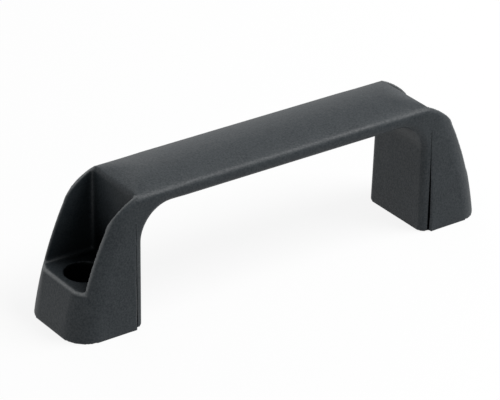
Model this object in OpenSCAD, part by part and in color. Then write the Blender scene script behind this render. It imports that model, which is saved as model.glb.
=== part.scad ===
// Bridge handle moulded in one piece: a crowned bar on two hollow-topped legs, screwed down from above.
// Millimetres. X runs along the bar, Y across it, Z up; the feet stand on z = 0.

/* [Overall] */
// length over both feet
length = 138; // [121:1:170]
// depth of a foot at its base
depth = 26.6; // [24.6:0.5:30.6]
// height to the crest of the bar
height = 40.3; // [37.3:0.5:46.3]

/* [Leg] */
// length of a foot from its outer face to the finger gap
leg_length = 21.8; // [20:0.2:24]
// slope of the outer face at the foot, degrees from upright
outer_lean = 6.4; // [5.4:0.2:8.4]
// radius of the long curve of the outer face
outer_r = 81; // [72:1:92]
// radius of the shoulder between outer face and bar top
shoulder_r = 24.5; // [20:0.5:28]
// radius of the two outer corners of a foot
corner_r = 7.6; // [5:0.2:9]
// flatter radius on which the corner rounding runs out towards the shoulder
corner_run_r = 117; // [105:1:140]
// rounding of the outer edges over the shoulder
cheek_edge_r = 1.6; // [1:0.2:2.4]
// inward slope of the side walls, degrees
side_draft = 2.9; // [2:0.1:4]

/* [Bar] */
// thickness of the bar from crest to underside
bar_thickness = 6.1; // [5.2:0.1:8]
// radius of the crown across the bar top
crown_r = 28; // [26:1:80]
// rounding of the upper edges
top_edge_r = 2.2; // [1.2:0.1:2.6]
// rounding of the end of the bar top at a pocket
end_r = 1.6; // [1:0.1:2]
// radius between bar underside and leg
inside_r = 9.6; // [6.6:0.5:12.6]
// rounding of the edges round the finger gap
grip_edge_r = 2; // [1.5:0.1:2.1]

/* [Parting step] */
// distance of the step from the inner face, at the foot
step_inset = 2.7; // [2.5:0.1:4]
// depth of the step at the foot
step_depth = 1; // [0.6:0.1:1.5]
// slope of the step line towards the finger gap, degrees
step_lean = 0.7; // [0:0.1:1]

/* [Pocket] */
// height of the pocket floor
floor_height = 14; // [12:0.5:17]
// thickness of the wall between pocket and finger gap
back_wall = 1.8; // [1.6:0.1:3]
// clear width of the pocket
pocket_width = 19.8; // [18:0.2:20.2]

/* [Screw hole] */
// distance of a hole from the end of the handle
hole_inset = 11; // [10:0.25:11.75]
// through hole for the screw
hole_d = 6.5; // [5.5:0.1:7]
// counterbore for the screw head
counterbore_d = 11; // [10:0.1:12]
// depth of the counterbore below the pocket floor
counterbore_depth = 6.5; // [5:0.5:7.5]

/* [Hidden] */
$fn = 96;
over = 1;
skin = 0.02;
half_l = length / 2;
half_d = depth / 2;
inner_x = half_l - leg_length;
back_x = inner_x + back_wall;
underside = height - bar_thickness;
hole_x = half_l - hole_inset;

// outer face, seen from the side: long curve from the foot, then the shoulder
outer_c = [half_l, 0] - outer_r * [cos(outer_lean), sin(outer_lean)];
shoulder_a = asin((height - shoulder_r - outer_c[1]) / (outer_r - shoulder_r));
shoulder_n = [cos(shoulder_a), sin(shoulder_a)];
shoulder_c = outer_c + (outer_r - shoulder_r) * shoulder_n;

// upper edge, seen along the bar: crown, edge rounding, sloping side
crown_c = [0, height - crown_r];
side_n = [cos(side_draft), sin(side_draft)];
edge_a = asin((half_d * side_n[0] - top_edge_r - side_n * crown_c) / (crown_r - top_edge_r)) - side_draft;
crown_n = [sin(edge_a), cos(edge_a)];
edge_c = crown_c + (crown_r - top_edge_r) * crown_n;

// inner part: stands back from the side wall at the foot and meets it at the underside of the bar
step_y = half_d - step_depth;
step_draft = atan(tan(side_draft) - step_depth / underside);

module both_ends() {
  children();
  mirror([1, 0, 0]) children();
}

module both_sides() {
  children();
  mirror([0, 1, 0]) children();
}

// lays a drawing of x and z upright, from y = 0 towards the far side
module upright(depth_y) {
  translate([0, depth_y, 0]) rotate([90, 0, 0]) linear_extrude(height = depth_y) children();
}

// waste outside a rounded corner whose two faces look along face_1 and face_2
module edge_waste(centre, r, face_1, face_2) {
  reach = 2 * r;
  difference() {
    polygon([centre, centre + reach * face_1, centre + reach * (face_1 + face_2), centre + reach * face_2]);
    translate(centre + skin * (face_1 + face_2)) circle(r = r);
  }
}

module side_outline() {
  difference() {
    intersection() {
      translate([-half_l - over, -over]) square([length + 2 * over, height + over]);
      translate(outer_c) circle(r = outer_r);
      mirror([1, 0]) translate(outer_c) circle(r = outer_r);
    }
    both_ends() edge_waste(shoulder_c, shoulder_r, [0, 1], shoulder_n);
  }
}

module finger_gap() {
  difference() {
    translate([-inner_x, -over]) square([2 * inner_x, underside + over]);
    both_ends() edge_waste([inner_x - inside_r, underside - inside_r], inside_r, [1, 0], [0, 1]);
  }
}

module cross_outline() {
  top_half_d = half_d - height * tan(side_draft);
  difference() {
    intersection() {
      polygon([[half_d, 0], [top_half_d, height], [-top_half_d, height], [-half_d, 0]]);
      translate(crown_c) circle(r = crown_r);
    }
    both_ends() edge_waste(edge_c, top_edge_r, side_n, crown_n);
  }
}

module blank() {
  intersection() {
    translate([0, -half_d - over, 0]) upright(depth + 2 * over) difference() {
      side_outline();
      finger_gap();
    }
    translate([-half_l - over, 0, 0]) rotate([90, 0, 90])
      linear_extrude(height = length + 2 * over) cross_outline();
  }
}

// waste outside a rounded corner whose faces look along +x and +y
module corner_waste(r, reach) {
  translate([-r + skin, -r + skin]) difference() {
    square(r + reach);
    circle(r = r);
  }
}

// waste outside the outer edges along an arc of the side outline, from one angle above level to another
module arc_waste(centre, arc_r, from, to, edge_r) {
  translate([0, half_d, 0]) rotate([side_draft, 0, 0]) translate([centre[0], 0, centre[1]])
    rotate([90, -from, 0]) mirror([0, 0, 1]) rotate_extrude(angle = to - from)
      translate([arc_r, 0]) corner_waste(edge_r, 2 * over);
}

// the rounding of the foot corner runs out upwards, and the rounding of the cheek edge takes over
module outer_corner_waste() {
  run_c = [half_l, 0] - corner_run_r * [cos(outer_lean), sin(outer_lean)];
  run_from = outer_lean - 2;
  run_to = outer_lean + 38;
  cheek_from = outer_lean + 6;
  cheek_to = 80;
  arc_waste(run_c, corner_run_r, run_from, run_to, corner_r);
  arc_waste(outer_c, outer_r, cheek_from, shoulder_a, cheek_edge_r);
  arc_waste(shoulder_c, shoulder_r, shoulder_a, cheek_to, cheek_edge_r);
}

// what lies between the side wall and the set-back inner part
module step_waste() {
  foot_x = inner_x + step_inset;
  top_x = foot_x - (underside + over) * tan(step_lean);
  translate([0, step_y, 0]) rotate([step_draft, 0, 0]) upright(2 * over)
    polygon([
      [foot_x + over * tan(step_lean), -over], [top_x, underside + over],
      [-top_x, underside + over], [-foot_x - over * tan(step_lean), -over]
    ]);
}

// rounding of one edge round the finger gap
module grip_edge_waste() {
  corner_x = inner_x - inside_r;
  corner_z = underside - inside_r;
  translate([0, step_y, 0]) rotate([step_draft, 0, 0]) {
    both_ends() {
      translate([inner_x, 0, -over]) mirror([1, 0, 0])
        linear_extrude(height = corner_z + over) corner_waste(grip_edge_r, over);
      translate([corner_x, 0, corner_z]) rotate([90, 0, 0]) mirror([0, 0, 1]) rotate_extrude(angle = 90)
        translate([inside_r, 0]) mirror([1, 0, 0]) corner_waste(grip_edge_r, over);
    }
    translate([-corner_x, 0, underside]) rotate([90, 0, 90])
      linear_extrude(height = 2 * corner_x) rotate(-90) corner_waste(grip_edge_r, over);
  }
}

// pocket, with the rounding of the bar top at its back wall
module pocket() {
  half_w = pocket_width / 2;
  end_a = asin((back_x - end_r - shoulder_c[0]) / (shoulder_r - end_r));
  end_n = [sin(end_a), cos(end_a)];
  translate([back_x, -half_w, floor_height]) cube([leg_length, pocket_width, height]);
  translate([0, -half_w, 0]) upright(pocket_width)
    edge_waste(shoulder_c + (shoulder_r - end_r) * end_n, end_r, [1, 0], end_n);
}

module screw_hole() {
  translate([hole_x, 0, -over]) cylinder(h = floor_height + over, d = hole_d);
  translate([hole_x, 0, floor_height - counterbore_depth])
    cylinder(h = counterbore_depth + over, d = counterbore_d);
}

module handle() {
  color([0.16, 0.17, 0.18]) difference() {
    blank();
    both_sides() {
      both_ends() outer_corner_waste();
      step_waste();
      grip_edge_waste();
    }
    both_ends() {
      pocket();
      screw_hole();
    }
  }
}

handle();
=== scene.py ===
import math

import bpy
import numpy as np
from mathutils import Matrix, Vector


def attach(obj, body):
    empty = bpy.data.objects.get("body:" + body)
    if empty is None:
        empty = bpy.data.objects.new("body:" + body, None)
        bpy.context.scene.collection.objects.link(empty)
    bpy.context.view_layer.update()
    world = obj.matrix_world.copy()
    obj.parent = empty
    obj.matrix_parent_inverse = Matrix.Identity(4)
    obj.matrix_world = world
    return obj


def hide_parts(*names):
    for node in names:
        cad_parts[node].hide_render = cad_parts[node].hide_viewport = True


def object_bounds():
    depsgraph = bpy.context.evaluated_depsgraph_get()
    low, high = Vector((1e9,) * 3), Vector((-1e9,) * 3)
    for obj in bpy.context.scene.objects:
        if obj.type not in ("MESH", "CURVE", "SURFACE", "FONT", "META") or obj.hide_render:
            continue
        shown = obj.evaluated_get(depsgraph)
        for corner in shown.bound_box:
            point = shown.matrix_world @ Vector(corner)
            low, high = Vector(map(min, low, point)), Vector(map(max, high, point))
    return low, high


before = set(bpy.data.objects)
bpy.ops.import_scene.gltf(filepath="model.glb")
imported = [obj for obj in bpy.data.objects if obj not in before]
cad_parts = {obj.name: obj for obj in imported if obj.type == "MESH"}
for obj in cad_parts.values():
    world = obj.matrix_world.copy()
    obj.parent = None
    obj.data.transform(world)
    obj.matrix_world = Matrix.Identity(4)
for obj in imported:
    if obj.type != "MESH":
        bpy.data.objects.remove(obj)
start_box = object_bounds()
scene = bpy.context.scene

# sizes of the handle in metres, as its CAD node has them
MM = 0.001
HALF_LENGTH, HALF_DEPTH, HEIGHT = start_box[1]
# outer face of a leg, seen from the side: a long arc from the foot, then the arc of the shoulder
OUTER_LEAN = math.radians(6.4)
OUTER_R = 81 * MM
SHOULDER_R = 24.5 * MM
# rounded corner of a foot, which runs out upwards along an arc of its own
CORNER_R = 7.6 * MM
CORNER_RUN_R = 117 * MM
SIDE_SLOPE = math.tan(math.radians(2.9))
# parting step on a side wall: deepest at the foot, gone at the underside of the bar
STEP_FOOT_X = HALF_LENGTH - 19.1 * MM
STEP_SLOPE = math.tan(math.radians(0.7))
STEP_DEPTH = 1 * MM
STEP_TOP_Z = HEIGHT - 6.1 * MM
# pocket and screw hole
POCKET_HALF_WIDTH = 9.9 * MM
POCKET_FLOOR_Z = 14 * MM
HOLE_X = HALF_LENGTH - 11 * MM


# node trees
def fresh_tree(owner):
    """The node tree of a material or a world, emptied."""
    owner.use_nodes = True
    owner.node_tree.nodes.clear()
    return owner.node_tree


def node(tree, kind, **inputs):
    """A new node with some of its inputs set."""
    made = tree.nodes.new(kind)
    for key, value in inputs.items():
        made.inputs[key].default_value = value
    return made


def feed(tree, socket, value):
    """Links a socket to another one, or sets it to a number or a colour."""
    if isinstance(value, bpy.types.NodeSocket):
        tree.links.new(value, socket)
    else:
        socket.default_value = value


def arithmetic(tree, operation, first, second):
    """One step of arithmetic on sockets or numbers."""
    made = node(tree, "ShaderNodeMath")
    made.operation = operation
    feed(tree, made.inputs[0], first)
    feed(tree, made.inputs[1], second)
    return made.outputs[0]


def product(tree, *factors):
    total = factors[0]
    for factor in factors[1:]:
        total = arithmetic(tree, "MULTIPLY", total, factor)
    return total


def falling(tree, z, at_foot, slope):
    """A length that shrinks with the height."""
    return arithmetic(tree, "SUBTRACT", at_foot, arithmetic(tree, "MULTIPLY", z, slope))


def map_range(tree, value, low, high, to_low, to_high):
    """Takes the range from low to high to another one, and holds values at its ends."""
    made = node(tree, "ShaderNodeMapRange", **{
        "From Min": low, "From Max": high, "To Min": to_low, "To Max": to_high,
    })
    tree.links.new(value, made.inputs["Value"])
    return made.outputs["Result"]


def blend(tree, share, first, second):
    """Two colours mixed by the share of the second."""
    share_input, first_input, second_input, colour_output = 0, 6, 7, 2
    made = node(tree, "ShaderNodeMix")
    made.data_type = "RGBA"
    feed(tree, made.inputs[share_input], share)
    feed(tree, made.inputs[first_input], first)
    feed(tree, made.inputs[second_input], second)
    return made.outputs[colour_output]


def mix_shaders(tree, share, first, second):
    """Two shaders mixed by the share of the second."""
    made = node(tree, "ShaderNodeMixShader")
    for source, socket in zip((share, first, second), made.inputs):
        tree.links.new(source, socket)
    return made.outputs["Shader"]


def noise(tree, position, scale, detail, roughness):
    made = node(tree, "ShaderNodeTexNoise", Scale=scale, Detail=detail, Roughness=roughness)
    tree.links.new(position, made.inputs["Vector"])
    return made.outputs["Fac"]


def noted(tree, name):
    """A value stored on the mesh."""
    made = node(tree, "ShaderNodeAttribute")
    made.attribute_name = name
    return made.outputs["Fac"]


# moulded plastic
CHARCOAL_DARK = (0.011, 0.0155, 0.019, 1)
CHARCOAL_PALE = (0.019, 0.0245, 0.0285, 1)
# pale rims of the pockets: a painted highlight on their rounding, together with the polish of rubbing
RIM_HIGHLIGHT_AND_WORN_COLOUR = (0.06, 0.067, 0.071, 1)
# near black painted into the hollows and the gap of the parting step as shade
PAINTED_SHADE_COLOUR = (0.0015, 0.0017, 0.002, 1)
SPECKLE_SHARE = 0.45
# painted shade in the hollows: reach and samples of the occlusion, and the least share of light left deep
# inside
HOLLOW_REACH = 20 * MM
HOLLOW_SAMPLES = 8
HOLLOW_LIGHT = 0.03
SHEEN = 0.3
RIM_HIGHLIGHT_GLOSS = 0.75
SPARKLE = 1.4
# painted shadow in the gap at the parting step: its reach along the wall and up the step, as shares of the
# step's depth
GAP_WIDTH_SHARE = 0.74
GAP_RISE_SHARE = 0.6
# it starts beside the step at the foot and takes in the step itself higher up
GAP_START = 0.2 * MM
GAP_START_SLOPE = 0.019
GAP_TOP_Z = 31 * MM
GAP_MIN_Y = 10.6 * MM


def painted_step_shadow(tree, position):
    """1 in the narrow gap along the parting step, where a shadow is painted, else 0."""
    split = node(tree, "ShaderNodeSeparateXYZ")
    tree.links.new(position, split.inputs[0])
    x, y, z = (arithmetic(tree, "ABSOLUTE", split.outputs[axis], 0.0) for axis in "XYZ")
    from_step = arithmetic(tree, "SUBTRACT", falling(tree, z, STEP_FOOT_X, STEP_SLOPE), x)
    depth = falling(tree, z, STEP_DEPTH, STEP_DEPTH / STEP_TOP_Z)
    side_y = falling(tree, z, HALF_DEPTH, SIDE_SLOPE)
    top_y = arithmetic(tree, "SUBTRACT", side_y, arithmetic(tree, "MULTIPLY", depth, 1 - GAP_RISE_SHARE))
    return product(
        tree,
        arithmetic(tree, "GREATER_THAN", from_step, falling(tree, z, GAP_START, GAP_START_SLOPE)),
        arithmetic(tree, "LESS_THAN", from_step, arithmetic(tree, "MULTIPLY", depth, GAP_WIDTH_SHARE)),
        arithmetic(tree, "GREATER_THAN", y, GAP_MIN_Y),
        arithmetic(tree, "LESS_THAN", y, top_y),
        arithmetic(tree, "LESS_THAN", z, GAP_TOP_Z),
    )


def painted_light_share(tree, position):
    """Painted shade: 1 on open faces, and near 0 in the hollows and in the gap of the parting step, where
    colour and sheen are darkened.
    """
    hollow = node(tree, "ShaderNodeAmbientOcclusion", Distance=HOLLOW_REACH)
    hollow.only_local = True
    hollow.samples = HOLLOW_SAMPLES
    open_share = map_range(tree, hollow.outputs["AO"], low=0.4, high=0.8, to_low=HOLLOW_LIGHT, to_high=1.0)
    lit = arithmetic(tree, "MAXIMUM", open_share, noted(tree, "painted_mouth_light"))
    return arithmetic(tree, "MINIMUM", lit, arithmetic(tree, "SUBTRACT", 1.0, painted_step_shadow(tree, position)))


def grain(tree, position):
    """Normals of the moulded grain: fine bumps on slight waves, which spread the sheen."""
    fine = node(tree, "ShaderNodeBump", Strength=0.35, Distance=0.12 * MM)
    waves = node(tree, "ShaderNodeBump", Strength=0.1, Distance=0.3 * MM)
    tree.links.new(noise(tree, position, scale=2600.0, detail=3.0, roughness=0.6), fine.inputs["Height"])
    tree.links.new(noise(tree, position, scale=420.0, detail=2.0, roughness=0.5), waves.inputs["Height"])
    tree.links.new(fine.outputs["Normal"], waves.inputs["Normal"])
    return waves.outputs["Normal"]


def moulded_plastic():
    """Charcoal plastic: spark-eroded grain, faint mottling, pocket rims painted pale and glossy as a
    highlight together with the polish of rubbing, and painted shade in the hollows and the gap of the
    parting step.
    """
    mat = bpy.data.materials.new("moulded_plastic")
    tree = fresh_tree(mat)
    out = node(tree, "ShaderNodeOutputMaterial")
    shader = node(tree, "ShaderNodeBsdfPrincipled")
    tree.links.new(shader.outputs["BSDF"], out.inputs["Surface"])
    position = node(tree, "ShaderNodeNewGeometry").outputs["Position"]

    # soft mottling a few millimetres wide and a fine speckle
    mottle = noise(tree, position, scale=160.0, detail=3.0, roughness=0.55)
    speckle = noise(tree, position, scale=1900.0, detail=2.0, roughness=0.6)
    pattern = arithmetic(
        tree, "ADD",
        arithmetic(tree, "MULTIPLY", speckle, SPECKLE_SHARE),
        arithmetic(tree, "MULTIPLY", mottle, 1 - SPECKLE_SHARE),
    )
    pale_share = map_range(tree, pattern, low=0.36, high=0.64, to_low=0.0, to_high=1.0)
    charcoal = blend(tree, pale_share, CHARCOAL_DARK, CHARCOAL_PALE)

    # the rims are painted paler and glossier below: a painted highlight together with the polish of
    # rubbing
    rim_highlight_and_rubbing = noted(tree, "rim_highlight_and_worn_polish")
    # painted shade: colour and sheen go towards near black where little light reaches
    lit = painted_light_share(tree, position)
    colour = blend(tree, lit, PAINTED_SHADE_COLOUR, blend(tree, rim_highlight_and_rubbing, charcoal, RIM_HIGHLIGHT_AND_WORN_COLOUR))
    sheen = arithmetic(tree, "ADD", arithmetic(tree, "MULTIPLY", rim_highlight_and_rubbing, RIM_HIGHLIGHT_GLOSS), SHEEN)
    sparkle = arithmetic(tree, "ADD", arithmetic(tree, "MULTIPLY", speckle, SPARKLE), 1 - SPARKLE / 2)
    roughness = map_range(tree, mottle, low=0.3, high=0.7, to_low=0.49, to_high=0.53)
    tree.links.new(colour, shader.inputs["Base Color"])
    tree.links.new(product(tree, lit, sheen, sparkle), shader.inputs["Specular IOR Level"])
    tree.links.new(grain(tree, position), shader.inputs["Normal"])
    tree.links.new(roughness, shader.inputs["Roughness"])
    return mat


# the handle: its CAD node remade as an even mesh, with its sharp edges relaxed
VOXEL = 0.4 * MM
RELAX_FACTOR = 0.5
EDGE_WEIGHT = 0.5
STEP_WEIGHT = 0.1
# where each pass acts, with x and y counted from the middle of the handle
STEP_RANGE_X = (47.5 * MM, 51.5 * MM)
STEP_MIN_Y = 10.5 * MM
STEP_MAX_Z = 34 * MM
HOLE_CLEAR_R = 6.8 * MM
HOLE_CLEAR_Z = 15.5 * MM
RIM_IN_X = (48 * MM, 49 * MM)
RIM_IN_Z = (12.5 * MM, 13.5 * MM)
RIM_OUT_Z = (30 * MM, 36 * MM)
BLEND_IN_X = (33 * MM, 39 * MM)
BLEND_IN_Z = (30 * MM, 34 * MM)
BLEND_OUT_BAR_X = (47 * MM, 48.2 * MM)
BLEND_OUT_CHEEK_X = (50 * MM, 56 * MM)
BLEND_OUT_Y = (9 * MM, 11.5 * MM)
CHEEK_MIN_Y = 10.2 * MM
# the pockets' rims, painted pale and glossy as a highlight together with the polish of rubbing, and the
# painted light that a mouth lets in
RIM_MIN_X = 48.5 * MM
RIM_WIDTH = 0.65 * MM
RIM_HIGHLIGHT_AND_RUB_PEAK = 1.3
POCKET_MIN_X = 47.6 * MM
POCKET_SKIN = 0.2 * MM
HOLE_REACH = 5.7 * MM
# painted light in a pocket fades over this depth behind the mouth
MOUTH_DEPTH = 4.5 * MM


def rise(value, low, high):
    """0 below low, 1 above high, and a straight slope between."""
    return np.clip((value - low) / (high - low), 0.0, 1.0)


def fall(value, low, high):
    """1 below low, 0 above high, and a straight slope between."""
    return rise(-value, -high, -low)


def edge_weight(x, y, z):
    """Every edge is broken a little, the parting step least."""
    low, high = STEP_RANGE_X
    beside_step = (x > low) & (x < high) & (y > STEP_MIN_Y) & (z < STEP_MAX_Z)
    return np.where(beside_step, STEP_WEIGHT, EDGE_WEIGHT)


def rim_weight(x, y, z):
    """The edges round a pocket's mouth are rounder, but not the one round the screw hole."""
    round_hole = (np.hypot(x - HOLE_X, y) < HOLE_CLEAR_R) & (z < HOLE_CLEAR_Z)
    return np.where(round_hole, 0.0, rise(x, *RIM_IN_X) * rise(z, *RIM_IN_Z) * fall(z, *RIM_OUT_Z))


def blend_weight(x, y, z):
    """The crown of the bar runs into the shoulder without a crease."""
    out_x = np.where(y < CHEEK_MIN_Y, fall(x, *BLEND_OUT_BAR_X), fall(x, *BLEND_OUT_CHEEK_X))
    return rise(x, *BLEND_IN_X) * out_x * fall(y, *BLEND_OUT_Y) * rise(z, *BLEND_IN_Z)


PASSES = (
    ("edges", edge_weight, 4),
    ("rim", rim_weight, 12),
    ("blend", blend_weight, 110),
)


def foot_arc_centre(radius):
    """Centre, in x and z, of an arc that leaves the end of the foot with the lean of the outer face."""
    return HALF_LENGTH - radius * math.cos(OUTER_LEAN), -radius * math.sin(OUTER_LEAN)


def depth_inside(x, y, z):
    """How far a place lies behind the outer face of its leg and the rounded corner of its foot."""
    outer_x, outer_z = foot_arc_centre(OUTER_R)
    between = OUTER_R - SHOULDER_R
    shoulder_angle = math.asin((HEIGHT - SHOULDER_R - outer_z) / between)
    shoulder_x = outer_x + between * math.cos(shoulder_angle)
    shoulder_z = HEIGHT - SHOULDER_R
    over_shoulder = z - shoulder_z > math.tan(shoulder_angle) * (x - shoulder_x)
    behind_face = np.where(
        over_shoulder,
        SHOULDER_R - np.hypot(x - shoulder_x, z - shoulder_z),
        OUTER_R - np.hypot(x - outer_x, z - outer_z),
    )
    run_x, run_z = foot_arc_centre(CORNER_RUN_R)
    from_front = np.maximum(CORNER_R - CORNER_RUN_R + np.hypot(x - run_x, z - run_z), 0.0)
    from_side = np.maximum(CORNER_R - HALF_DEPTH + z * SIDE_SLOPE + y, 0.0)
    return np.minimum(behind_face, CORNER_R - np.hypot(from_front, from_side))


def note(mesh, name, values):
    """Stores a value from 0 to 1 for each point of a mesh."""
    mesh.attributes.new(name, "FLOAT", "POINT").data.foreach_set("value", np.clip(values, 0.0, 1.0))


def note_pockets(mesh, x, y, z):
    """Stores the painted highlight and polish of rubbing on the rims of the pockets' mouths, and how far
    the painted light from a mouth gets in.
    """
    depth = depth_inside(x, y, z)
    past_wall = np.maximum(y - POCKET_HALF_WIDTH, POCKET_FLOOR_Z - z)
    # the painted highlight on the rims, with the polish of rubbing, fades out within a fraction of a
    # millimetre of the edge
    rim_highlight_and_rubbing = RIM_HIGHLIGHT_AND_RUB_PEAK - np.hypot(depth, past_wall) / RIM_WIDTH
    note(mesh, "rim_highlight_and_worn_polish", np.where(x > RIM_MIN_X, rim_highlight_and_rubbing, 0.0))
    in_hole = np.hypot(x - HOLE_X, y) < HOLE_REACH
    in_pocket = (x > POCKET_MIN_X) & ((past_wall < POCKET_SKIN) | in_hole)
    # painted light: a pocket's walls are painted less lit the deeper they lie behind the mouth
    note(mesh, "painted_mouth_light", np.where(in_pocket, 1.0 - depth / MOUTH_DEPTH, 1.0))


def own_copy(source, name):
    """A copy of a CAD node with a mesh of its own, made the active object."""
    piece = source.copy()
    piece.data = source.data.copy()
    piece.name = name
    piece.parent = None
    scene.collection.objects.link(piece)
    for other in bpy.context.selected_objects:
        other.select_set(False)
    bpy.context.view_layer.objects.active = piece
    piece.select_set(True)
    return piece


def relax_pass(piece, places, name, weight, rounds):
    """Adds a smoothing modifier that acts by a weight for each point."""
    group = piece.vertex_groups.new(name=name)
    levels = np.round(weight(*places), 1)
    for level in np.unique(levels[levels > 0]):
        group.add(np.nonzero(levels == level)[0].tolist(), float(level), "REPLACE")
    relax = piece.modifiers.new(name, "SMOOTH")
    relax.factor = RELAX_FACTOR
    relax.iterations = rounds
    relax.vertex_group = name


def handle_mesh():
    piece = own_copy(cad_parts["handle"], "handle_skin")
    remesh = piece.modifiers.new("even", "REMESH")
    remesh.mode = "VOXEL"
    remesh.voxel_size = VOXEL
    bpy.ops.object.modifier_apply(modifier=remesh.name)
    coordinates = np.empty(len(piece.data.vertices) * 3)
    piece.data.vertices.foreach_get("co", coordinates)
    places = np.abs(coordinates.reshape(-1, 3)).T
    note_pockets(piece.data, *places)
    for settings in PASSES:
        relax_pass(piece, places, *settings)
    for name, _, _ in PASSES:
        bpy.ops.object.modifier_apply(modifier=name)
    for face in piece.data.polygons:
        face.use_smooth = True
    return piece


skin = handle_mesh()
skin.data.materials.clear()
skin.data.materials.append(moulded_plastic())
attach(skin, "root")
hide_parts("handle")


# studio
def seen_directly(tree):
    """1 for rays from the camera, from a reflection or through glass, else 0."""
    path = node(tree, "ShaderNodeLightPath")
    seen = path.outputs["Is Camera Ray"]
    for other in ("Is Glossy Ray", "Is Transmission Ray"):
        seen = arithmetic(tree, "MAXIMUM", seen, path.outputs[other])
    return seen


def white_floor(grey, lift):
    """Matt floor that takes the shadow, which a plain white thins where the floor is seen directly."""
    mat = bpy.data.materials.new("floor_white")
    tree = fresh_tree(mat)
    out = node(tree, "ShaderNodeOutputMaterial")
    matt = node(tree, "ShaderNodeBsdfDiffuse", Color=(grey, grey, grey, 1))
    white = node(tree, "ShaderNodeEmission", Strength=1.0)
    share = arithmetic(tree, "MULTIPLY", seen_directly(tree), lift)
    surface = mix_shaders(tree, share, matt.outputs["BSDF"], white.outputs["Emission"])
    tree.links.new(surface, out.inputs["Surface"])
    return mat


def studio_world(level):
    """A plain soft light all round, and white where the camera or a reflection looks past the floor."""
    scene.world = bpy.data.worlds.new("studio")
    tree = fresh_tree(scene.world)
    out = node(tree, "ShaderNodeOutputWorld")
    soft = node(tree, "ShaderNodeBackground", Color=(1, 1, 1, 1), Strength=level)
    white = node(tree, "ShaderNodeBackground", Color=(1, 1, 1, 1), Strength=1.0)
    backgrounds = (soft.outputs["Background"], white.outputs["Background"])
    tree.links.new(mix_shaders(tree, seen_directly(tree), *backgrounds), out.inputs["Surface"])


def area_light(name, place, aim, size, power):
    data = bpy.data.lights.new(name, "AREA")
    data.shape = "DISK"
    data.size = size
    data.energy = power
    light = bpy.data.objects.new(name, data)
    light.location = place
    light.rotation_euler = (Vector(aim) - Vector(place)).to_track_quat("-Z", "Y").to_euler()
    scene.collection.objects.link(light)


bpy.ops.mesh.primitive_plane_add(size=4.0, location=(0, 0, 0))
floor = bpy.context.object
floor.name = "floor"
floor.data.materials.append(white_floor(grey=0.86, lift=0.88))
studio_world(level=0.3)
area_light("key", place=(0.46, -0.3, 0.76), aim=(0, 0, 0.02), size=0.6, power=9.0)
area_light("sheen", place=(0.14, 0.42, 0.33), aim=(-0.06, 0, 0.04), size=0.2, power=0.2)

# camera, fitted to the edges of the handle in the photo: angles in radians, distance in metres
PITCH = 0.484176
HEADING = 0.636375
ROLL = -0.025881
DISTANCE = 0.801974
FOCAL_PX = 2893.61
ORIGIN_PX = (260.710, 259.632)
CENTRE_PX = (250, 200)
IMAGE_WIDTH_PX = 500
SENSOR_WIDTH_MM = 36.0

across = Vector((math.cos(HEADING), -math.sin(HEADING), 0))
ahead = Vector((math.sin(HEADING), math.cos(HEADING), 0))
forward = ahead * math.cos(PITCH) - Vector((0, 0, 1)) * math.sin(PITCH)
below = forward.cross(across)
right = across * math.cos(ROLL) + below * math.sin(ROLL)
down = below * math.cos(ROLL) - across * math.sin(ROLL)
offset = [(ORIGIN_PX[i] - CENTRE_PX[i]) / FOCAL_PX * DISTANCE for i in (0, 1)]
eye = -(right * offset[0] + down * offset[1] + forward * DISTANCE)
camera_data = bpy.data.cameras.new("camera")
camera_data.sensor_width = SENSOR_WIDTH_MM
camera_data.lens = FOCAL_PX / IMAGE_WIDTH_PX * SENSOR_WIDTH_MM
camera_data.clip_start = 0.01
camera_data.clip_end = 20.0
camera = bpy.data.objects.new("camera", camera_data)
camera.matrix_world = Matrix.Translation(eye) @ Matrix((right, -down, -forward)).transposed().to_4x4()
scene.collection.objects.link(camera)
scene.camera = camera
scene.view_settings.view_transform = "Standard"
